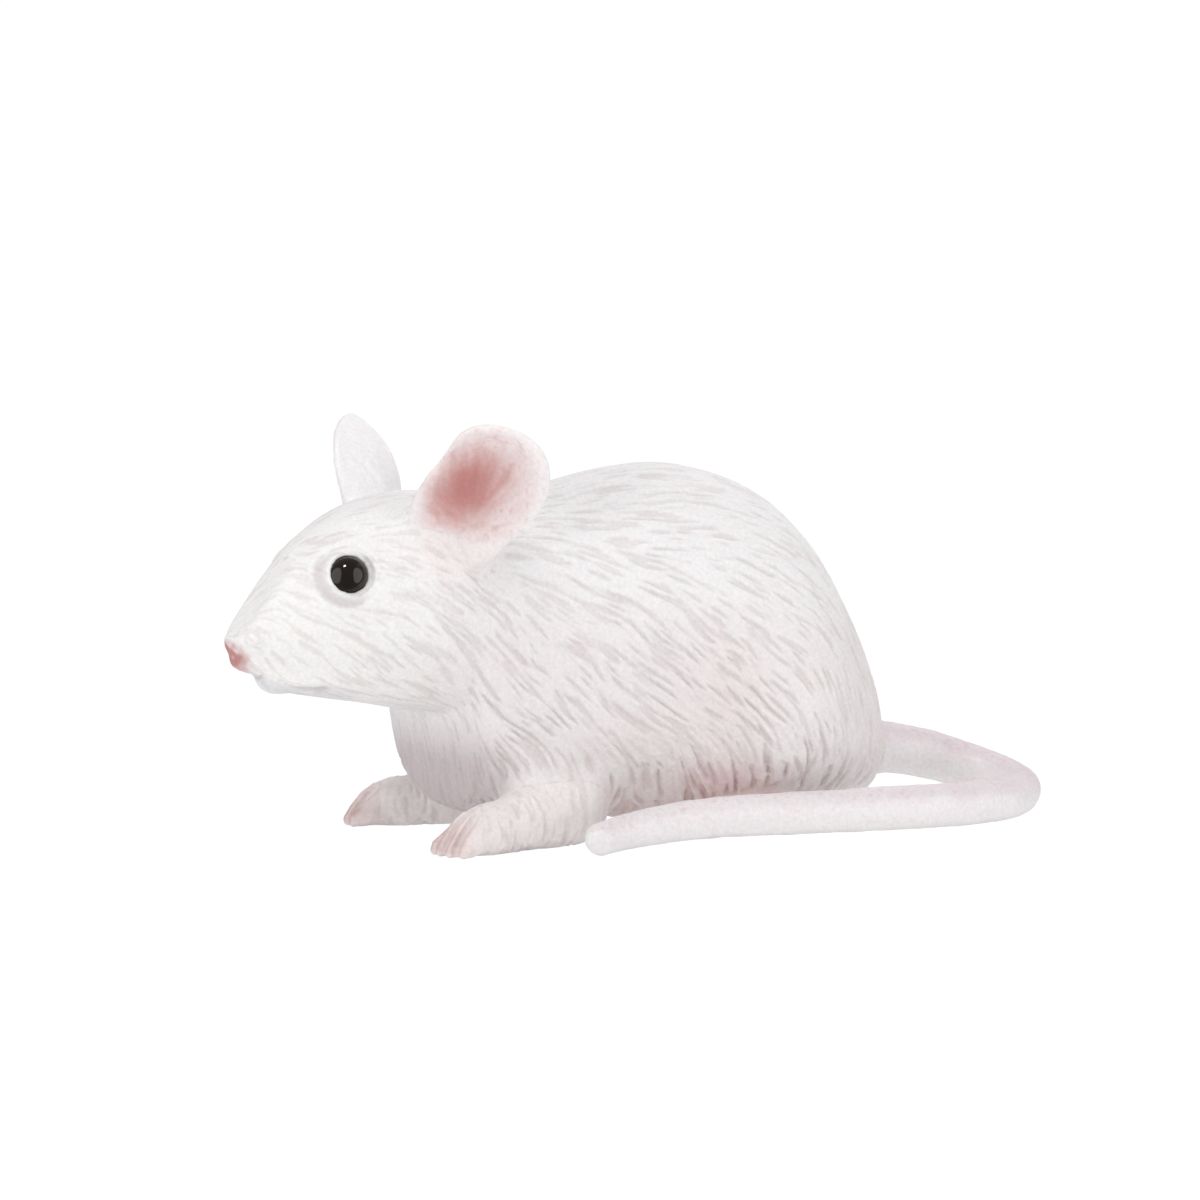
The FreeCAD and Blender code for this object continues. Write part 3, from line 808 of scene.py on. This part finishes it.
def foreleg_paint(limb):
    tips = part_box(limb)[0].x * MM

    def paint(p, n, height):
        """White like the fur with painted shade in its grooves, turning pink towards toes with brown-pink
        fronts.
        """
        toe = step_up(-p[:, 0] + (noise(p, 1.2, 5.0) - 0.5) * 2.0, -(tips + 5.2), -(tips + 0.2))
        speckle = step_up(noise(p, 0.4, 2.0), 0.6, 0.95)
        colour = np.tile(WHITE, (len(p), 1)) * 0.955
        # Painted shade in the paw's grooves: the deeper the groove, the darker.
        colour = mix(colour, colour * PAW_GROOVE_SHADE, (1 - height) ** 2)
        colour = mix(colour, PALE_PINK * 1.15, 0.14 + 0.20 * toe + 0.10 * speckle)
        return mix(colour, BROWN_PINK, toe**2 * 0.60 * step_up(n[:, 2] - 0.8 * n[:, 0], 0.2, 1.3))

    return paint


def hind_foot_paint(p, n, height):
    """Pink, paler towards the sole."""
    speckle = step_up(noise(p, 0.4, 2.0), 0.6, 0.95)
    colour = np.tile(WHITE, (len(p), 1))
    colour = mix(colour, PALE_PINK * 1.05, 0.25 + 0.75 * step_up(p[:, 2], 1.2, 3.2))
    return mix(colour, PINK * 1.2, speckle * 0.2)


def tail_paint(p, n, height):
    """White with a faint lilac tone, a lilac top painted as cool shade that is stronger towards the rear,
    and pink specks.
    """
    colour = np.tile(WHITE * 1.01, (len(p), 1))
    # Painted cool shade: lilac laid on the upward faces, over a faint lilac tone all over.
    top = step_up(n[:, 2] + (noise(p, 3.0, 6.0) - 0.5) * 0.7, -0.25, 0.9)
    far = step_up(p[:, 0], 5, 42)
    speck = step_up(noise(p, 0.34, 2.0), 0.55, 0.95)
    colour = mix(colour, LILAC, 0.10 + 0.50 * top * (0.45 + 0.55 * far))
    return mix(colour, PINK * 1.15, speck * 0.24 * (0.3 + 0.7 * top))


# Materials ---------------------------------------------------------------------------------------


def new_material(name):
    """A material with its nodes, links and main shader."""
    material = bpy.data.materials.new(name)
    material.use_nodes = True
    nodes = material.node_tree.nodes
    return material, nodes, material.node_tree.links, nodes["Principled BSDF"]


def set_inputs(node, values):
    for name, value in values.items():
        node.inputs[name].default_value = value


def new_node(nodes, kind, values=()):
    node = nodes.new(kind)
    set_inputs(node, dict(values))
    return node


def paint_material(name, roughness, grain, grain_size, subsurface=0.12):
    """Matte paint over vinyl: vertex colours, fine spray speckle and a grainy surface."""
    material, nodes, links, shader = new_material(name)
    set_inputs(shader, {
        "Subsurface Weight": subsurface,
        "Subsurface Radius": (1.0, 0.6, 0.5),
        "Subsurface Scale": 0.0008,
        "Specular IOR Level": 0.35,
    })
    colour = new_node(nodes, "ShaderNodeAttribute")
    colour.attribute_name = "Paint"
    place = new_node(nodes, "ShaderNodeTexCoord")
    spray = new_node(nodes, "ShaderNodeTexNoise", {"Scale": 2600, "Detail": 3})
    tone = new_node(nodes, "ShaderNodeMapRange")
    set_inputs(tone, {"From Min": 0.35, "From Max": 0.7, "To Min": 0.94, "To Max": 1.03})
    scaled = new_node(nodes, "ShaderNodeVectorMath")
    scaled.operation = "SCALE"
    links.new(place.outputs["Object"], spray.inputs["Vector"])
    links.new(spray.outputs["Fac"], tone.inputs["Value"])
    links.new(colour.outputs["Color"], scaled.inputs[0])
    links.new(tone.outputs["Result"], scaled.inputs["Scale"])
    links.new(scaled.outputs["Vector"], shader.inputs["Base Color"])
    sheen = new_node(nodes, "ShaderNodeMapRange", {"To Min": roughness - 0.08, "To Max": roughness + 0.08})
    links.new(spray.outputs["Fac"], sheen.inputs["Value"])
    links.new(sheen.outputs["Result"], shader.inputs["Roughness"])
    pores = new_node(nodes, "ShaderNodeTexNoise", {"Scale": grain_size, "Detail": 4})
    bump = new_node(nodes, "ShaderNodeBump", {"Strength": grain, "Distance": 0.0001})
    links.new(place.outputs["Object"], pores.inputs["Vector"])
    links.new(pores.outputs["Fac"], bump.inputs["Height"])
    links.new(bump.outputs["Normal"], shader.inputs["Normal"])
    return material


def eye_material():
    """Near-black gloss with a faint brown cloud."""
    material, nodes, links, shader = new_material("gloss_eye")
    set_inputs(shader, {"Roughness": 0.09, "Specular IOR Level": 0.32})
    place = new_node(nodes, "ShaderNodeTexCoord")
    cloud = new_node(nodes, "ShaderNodeTexNoise", {"Scale": 900})
    ramp = new_node(nodes, "ShaderNodeValToRGB")
    ramp.color_ramp.elements[0].color = (0.005, 0.003, 0.0015, 1)
    ramp.color_ramp.elements[1].color = (0.014, 0.008, 0.004, 1)
    links.new(place.outputs["Object"], cloud.inputs["Vector"])
    links.new(cloud.outputs["Fac"], ramp.inputs["Fac"])
    links.new(ramp.outputs["Color"], shader.inputs["Base Color"])
    return material


fur_paint = paint_material("white_fur_paint", 0.55, 0.35, 1800)
ear_skin = paint_material("ear_skin_paint", 0.50, 0.45, 1500, 0.25)
paw_skin = paint_material("paw_skin_paint", 0.45, 0.40, 1300)
tail_skin = paint_material("tail_skin_paint", 0.42, 0.40, 1400)
eye_gloss = eye_material()


# Pieces ------------------------------------------------------------------------------------------

TUCK = 0.8  # how far pieces overlap under their seams
SOLE_RISE = 0.45  # of the hind feet's visible soles


def add_object(name, data):
    obj = bpy.data.objects.new(name, data)
    bpy.context.collection.objects.link(obj)
    return obj


def smooth(mesh):
    mesh.polygons.foreach_set("use_smooth", np.ones(len(mesh.polygons), bool))
    mesh.update()


def mesh_of(name, field, win):
    """A mesh object on the field's zero level, in metres."""
    grid = openvdb.FloatGrid(float(BAND))
    grid.copyFromArray(np.ascontiguousarray(field, dtype=np.float32), ijk=starts(win))
    grid.transform = openvdb.createLinearTransform(VOXEL)
    points, quads = grid.convertToQuads(0.0)
    points = (points + ORIGIN).astype(np.float32)
    mesh = bpy.data.meshes.new(name)
    mesh.vertices.add(len(points))
    mesh.vertices.foreach_set("co", (points / MM).ravel())
    mesh.loops.add(quads.size)
    mesh.loops.foreach_set("vertex_index", quads.astype(np.int32).ravel())
    mesh.polygons.add(len(quads))
    mesh.polygons.foreach_set("loop_start", np.arange(0, quads.size, 4, dtype=np.int32))
    mesh.update(calc_edges=True)
    a, b, c = points[quads[:, 0]], points[quads[:, 1]], points[quads[:, 2]]
    if (np.cross(a, b) * c).sum() < 0:
        mesh.flip_normals()
    smooth(mesh)
    return add_object(name, mesh)


def loose_vertices(mesh):
    """The vertices that aren't joined to the mesh's largest part."""
    edges = np.zeros(len(mesh.edges) * 2, np.int32)
    mesh.edges.foreach_get("vertices", edges)
    edges = edges.reshape(-1, 2)
    label = np.arange(len(mesh.vertices))
    while True:
        low = np.minimum(label[edges[:, 0]], label[edges[:, 1]])
        new = label.copy()
        np.minimum.at(new, edges[:, 0], low)
        np.minimum.at(new, edges[:, 1], low)
        new = new[new]
        if (new == label).all():
            break
        label = new
    parts, counts = np.unique(label, return_counts=True)
    return np.nonzero(label != parts[counts.argmax()])[0]


def keep_largest(mesh):
    """Drops loose scraps of mesh inside or beside the piece."""
    loose = loose_vertices(mesh)
    if len(loose) == 0:
        return
    edit = bmesh.new()
    edit.from_mesh(mesh)
    edit.verts.ensure_lookup_table()
    bmesh.ops.delete(edit, geom=[edit.verts[int(k)] for k in loose], context="VERTS")
    edit.to_mesh(mesh)
    edit.free()


def piece_of(name, field, win):
    """A piece's object with its points and normals."""
    obj = mesh_of(name, field, win)
    keep_largest(obj.data)
    points = vertex_points(obj.data)
    normals = np.zeros(points.size, np.float32)
    obj.data.vertex_normals.foreach_get("vector", normals)
    return obj, points, normals.reshape(-1, 3)


def finish_piece(obj, points, normals, nodes, looks):
    """Presses the strokes in, paints the vertices and joins the piece to the frame."""
    height, depth, paint, material, slot = looks
    moved = points + normals * ((height - 0.5) * depth)[:, None]
    moved[:, 2] = np.maximum(moved[:, 2], 0.0)
    obj.data.vertices.foreach_set("co", (moved / MM).astype(np.float32).ravel())
    colour = np.ones((len(points), 4), np.float32)
    colour[:, :3] = np.clip(paint(points, normals, height), 0, 1)
    layer = obj.data.color_attributes.new("Paint", "FLOAT_COLOR", "POINT")
    layer.data.foreach_set("color", colour.ravel())
    obj.data.update()
    obj.data.materials.append(material)
    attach(obj, "root")
    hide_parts(*nodes)


def body_piece():
    """Body and core as one, with room for the limbs' pieces and fur that fades out at their seams."""
    field = form.copy()
    for limb, (distance, win) in own.items():
        inside = by_kind(SEAMS, limb) - distance
        block = field[win] + np.maximum(inside, 0.0)
        field[win] = np.maximum(block, np.minimum(inside - TUCK, BAND))
    obj, points, normals = piece_of("body_fur", field, whole)
    depth = fur_depth(points)
    for limb, (distance, win) in own.items():
        away = sample(distance, win, points) - by_kind(SEAMS, limb)
        lo = np.array([AXES[k][win[k].start] for k in range(3)])
        hi = np.array([AXES[k][win[k].stop - 1] for k in range(3)])
        inside = ((points > lo) & (points < hi)).all(1)
        depth = np.where(inside, depth * step_up(away, 0.0, 1.3), depth)
    looks = (fur_height(points, normals), depth, body_paint, fur_paint, "white_vinyl")
    finish_piece(obj, points, normals, ("body", "core"), looks)


def foreleg_looks(limb, points, normals):
    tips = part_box(limb)[0].x * MM
    depth = 0.24 * step_up(points[:, 0], tips + 3.5, tips + 8.0)
    return fur_height(points, normals), depth, foreleg_paint(limb), paw_skin, "white_vinyl"


def hind_foot_looks(limb, points, normals):
    height = noise(points, 0.9, 2.0) - 0.5
    return height, np.full(len(points), 0.10), hind_foot_paint, paw_skin, "foot_vinyl"


def tail_looks(limb, points, normals):
    height = noise(points, 0.8, 2.0) + noise(points, 2.5, 4.0) - 1.0
    return height, np.full(len(points), 0.09), tail_paint, tail_skin, "tail_vinyl"


def ear_looks(limb, points, normals):
    """Fine folds that fan out in the cup and on the ear's back, and fade towards the rim."""
    side = limb.split("_")[0]
    front, up = ear_parts(side, points)
    facing = normals @ EARS[side]["opening"]
    fan = ear_fan(side, points, 7.0)
    height = strokes(points, fan, 1.0, 7.0, 3.0) + 0.6 * strokes(points, fan, 0.5, 5.0, 8.0)
    rim = step_up(np.hypot(front / EARS[side]["half"], up / 7.0), 0.75, 0.95)
    depth = 0.075 * step_up(facing, 0.0, 0.6) + 0.045 * step_up(-facing, 0.2, 0.7)
    return height, depth * (1 - 0.75 * rim), ear_paint(side), ear_skin, "ear_vinyl"


LOOKS = {
    "foreleg": foreleg_looks,
    "hind_foot": hind_foot_looks,
    "tail": tail_looks,
    "ear": ear_looks,
}


def limb_piece(limb):
    """The part of the fused form round a limb's node."""
    distance, win = own[limb]
    seam = by_kind(SEAMS, limb)
    beyond = distance - seam
    field = form[win] + np.maximum(beyond, 0.0)
    field = np.maximum(field, beyond - TUCK)
    if "hind" in limb:
        field = soft_cut(field, grid_points(win)[2] - SOLE_RISE, 0.4)
    obj, points, normals = piece_of(f"{limb}_skin", field, win)
    height, depth, *rest = by_kind(LOOKS, limb)(limb, points, normals)
    depth = depth * (1 - step_up(sample(distance, win, points), 0.0, 0.8 * seam))
    finish_piece(obj, points, normals, (limb,), (height, depth, *rest))


EYE_RINGS, EYE_TURNS = 72, 128


def eye_faces():
    """Faces between an eye's rings, and round its front and rear points, which come last."""
    front = (EYE_RINGS - 1) * EYE_TURNS
    faces = []
    for j in range(EYE_TURNS):
        k = (j + 1) % EYE_TURNS
        faces.append((front, j, k))
        for i in range(EYE_RINGS - 2):
            this, following = i * EYE_TURNS, (i + 1) * EYE_TURNS
            faces.append((this + j, following + j, following + k, this + k))
        last = (EYE_RINGS - 2) * EYE_TURNS
        faces.append((front + 1, last + k, last + j))
    return faces


def eye_piece(side):
    """A bead drawn out a little into soft corners ahead and behind, with a proud cornea."""
    centre, radius = EYES[side]
    out = eye_out(side)
    along = unit((FORWARD - out * (FORWARD @ out))[None])[0]
    over = np.cross(out, along)
    polar = np.linspace(0, math.pi, EYE_RINGS + 1)[1:-1, None]
    turn = np.linspace(0, 2 * math.pi, EYE_TURNS, endpoint=False)[None, :]
    level, wide, high = np.cos(polar) + 0 * turn, np.sin(polar) * np.cos(turn), np.sin(polar) * np.sin(turn)
    corner = np.abs(np.cos(turn)) ** 6 * np.sin(polar) ** 2
    shape = radius * (1 + 0.035 * corner - 0.030 * np.sin(turn) ** 2 * np.sin(polar) ** 2)
    shape = shape * (1 + 0.015 * step_up(level, 0.4, 1.0))
    body = shape[..., None] * (level[..., None] * out + wide[..., None] * along + high[..., None] * over)
    points = np.vstack([body.reshape(-1, 3), out * radius * 1.015, out * -radius]) + centre
    mesh = bpy.data.meshes.new(f"{side}_eye_bead")
    mesh.from_pydata([tuple(v) for v in points / MM], [], eye_faces())
    smooth(mesh)
    obj = add_object(f"{side}_eye_bead", mesh)
    obj.data.materials.append(eye_gloss)
    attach(obj, "root")
    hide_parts(f"{side}_eye")


body_piece()
for limb in LIMBS:
    limb_piece(limb)
for side in SIDES:
    eye_piece(side)


# Studio ------------------------------------------------------------------------------------------

AZIMUTH = math.radians(-20.0)
ELEVATION = math.radians(4.3)
DISTANCE = 0.70
FIELD = 0.132  # width seen at the object, in metres
AIM_LEFT = 0.00287  # the camera's target, from the middle of the CAD parts' footprint
AIM_UP = 0.02575
WORLD_LIGHT = 0.40
WORLD_SEEN = 1.06  # the background's brightness for the camera
PANEL_CORNERS = 24


def world():
    """A cool white world, brighter to the camera than as a light."""
    sky = bpy.data.worlds.new("studio")
    bpy.context.scene.world = sky
    sky.use_nodes = True
    nodes, links = sky.node_tree.nodes, sky.node_tree.links
    path = new_node(nodes, "ShaderNodeLightPath")
    level = new_node(nodes, "ShaderNodeMapRange", {"To Min": WORLD_LIGHT, "To Max": WORLD_SEEN})
    links.new(path.outputs["Is Camera Ray"], level.inputs["Value"])
    links.new(level.outputs["Result"], nodes["Background"].inputs["Strength"])
    set_inputs(nodes["Background"], {"Color": (0.97, 0.98, 1.0, 1)})


def floor():
    """A pale floor, lit up towards its far parts, that lights the model but isn't seen itself."""
    bpy.ops.mesh.primitive_circle_add(vertices=96, radius=12.0, fill_type="NGON", location=(0, 0, 0))
    obj = bpy.context.object
    obj.name = "floor"
    material, nodes, links, shader = new_material("pale_floor")
    set_inputs(shader, {
        "Base Color": (0.8, 0.8, 0.8, 1),
        "Roughness": 0.9,
        "Specular IOR Level": 0.1,
        "Emission Color": (1, 1, 1, 1),
    })
    place = new_node(nodes, "ShaderNodeTexCoord")
    away = new_node(nodes, "ShaderNodeVectorMath")
    away.operation = "LENGTH"
    glow = new_node(nodes, "ShaderNodeMapRange")
    glow.interpolation_type = "SMOOTHSTEP"
    far_glow = 1.02 - 0.8 * WORLD_LIGHT
    set_inputs(glow, {"From Min": 0.08, "From Max": 0.8, "To Min": 0.30, "To Max": far_glow})
    links.new(place.outputs["Object"], away.inputs[0])
    links.new(away.outputs["Value"], glow.inputs["Value"])
    links.new(glow.outputs["Result"], shader.inputs["Emission Strength"])
    obj.data.materials.append(material)
    obj.visible_glossy = False
    obj.visible_camera = False


def softbox(name, place, size, power):
    """A light that the gloss doesn't show, aimed at the model."""
    light = bpy.data.lights.new(name, "AREA")
    light.shape = "RECTANGLE"
    light.size, light.size_y = size
    light.energy = power
    obj = add_object(name, light)
    obj.location = place
    obj.rotation_euler = (Vector((0, 0, 0.02)) - Vector(place)).to_track_quat("-Z", "Y").to_euler()
    obj.visible_glossy = False


def view_directions(turn, height):
    """Right, outward and up as seen from an angle round the model and a height over it."""
    right = Vector((math.cos(turn), math.sin(turn), 0))
    out = Vector((math.sin(turn) * math.cos(height), -math.cos(turn) * math.cos(height), math.sin(height)))
    return right, out, out.cross(right)


def panel(name, turn, height, reach, half, strength):
    """A soft panel that only the gloss shows, at an angle from the camera's and a height in degrees."""
    right, out, up = view_directions(AZIMUTH + math.radians(turn), math.radians(height))
    middle = out * reach + Vector((0, 0, 0.025))
    corners = []
    for k in range(PANEL_CORNERS):
        angle = k * 2 * math.pi / PANEL_CORNERS
        corners.append(middle + right * half[0] * math.cos(angle) + up * half[1] * math.sin(angle))
    mesh = bpy.data.meshes.new(name)
    mesh.from_pydata([tuple(v) for v in corners], [], [tuple(range(PANEL_CORNERS))])
    material, _, _, shader = new_material(name)
    set_inputs(shader, {
        "Base Color": (0, 0, 0, 1),
        "Emission Color": (1.0, 0.95, 0.95, 1),
        "Emission Strength": strength,
    })
    mesh.materials.append(material)
    obj = add_object(name, mesh)
    obj.visible_camera = False
    obj.visible_diffuse = False
    obj.visible_shadow = False
    obj.visible_transmission = False


def camera():
    data = bpy.data.cameras.new("camera")
    data.angle = 2 * math.atan(FIELD / 2 / DISTANCE)
    data.clip_start = 0.01
    obj = add_object("camera", data)
    right, out, up = view_directions(AZIMUTH, ELEVATION)
    lo, hi = cad_bounds
    middle = Vector(((lo[0] + hi[0]) / 2, (lo[1] + hi[1]) / 2, 0.0))
    obj.location = middle - right * AIM_LEFT + up * AIM_UP + out * DISTANCE
    obj.rotation_euler = out.to_track_quat("Z", "Y").to_euler()
    bpy.context.scene.camera = obj


world()
floor()
softbox("key", (-0.15, -0.20, 0.80), (0.6, 0.6), 3.1)
softbox("left_window", (-0.85, -0.55, 0.26), (0.30, 0.42), 1.8)
softbox("right_window", (0.62, -0.80, 0.34), (0.40, 0.42), 1.8)
softbox("rim", (0.45, 0.55, 0.55), (0.5, 0.5), 3.0)
panel("left_panel", -62.0, 4.0, 0.50, (0.30, 0.44), 2.4)
panel("right_panel", 62.0, 4.0, 0.50, (0.28, 0.44), 2.6)
panel("spark", -30.0, 62.0, 0.60, (0.055, 0.055), 60.0)
camera()
bpy.context.scene.view_settings.view_transform = "Standard"
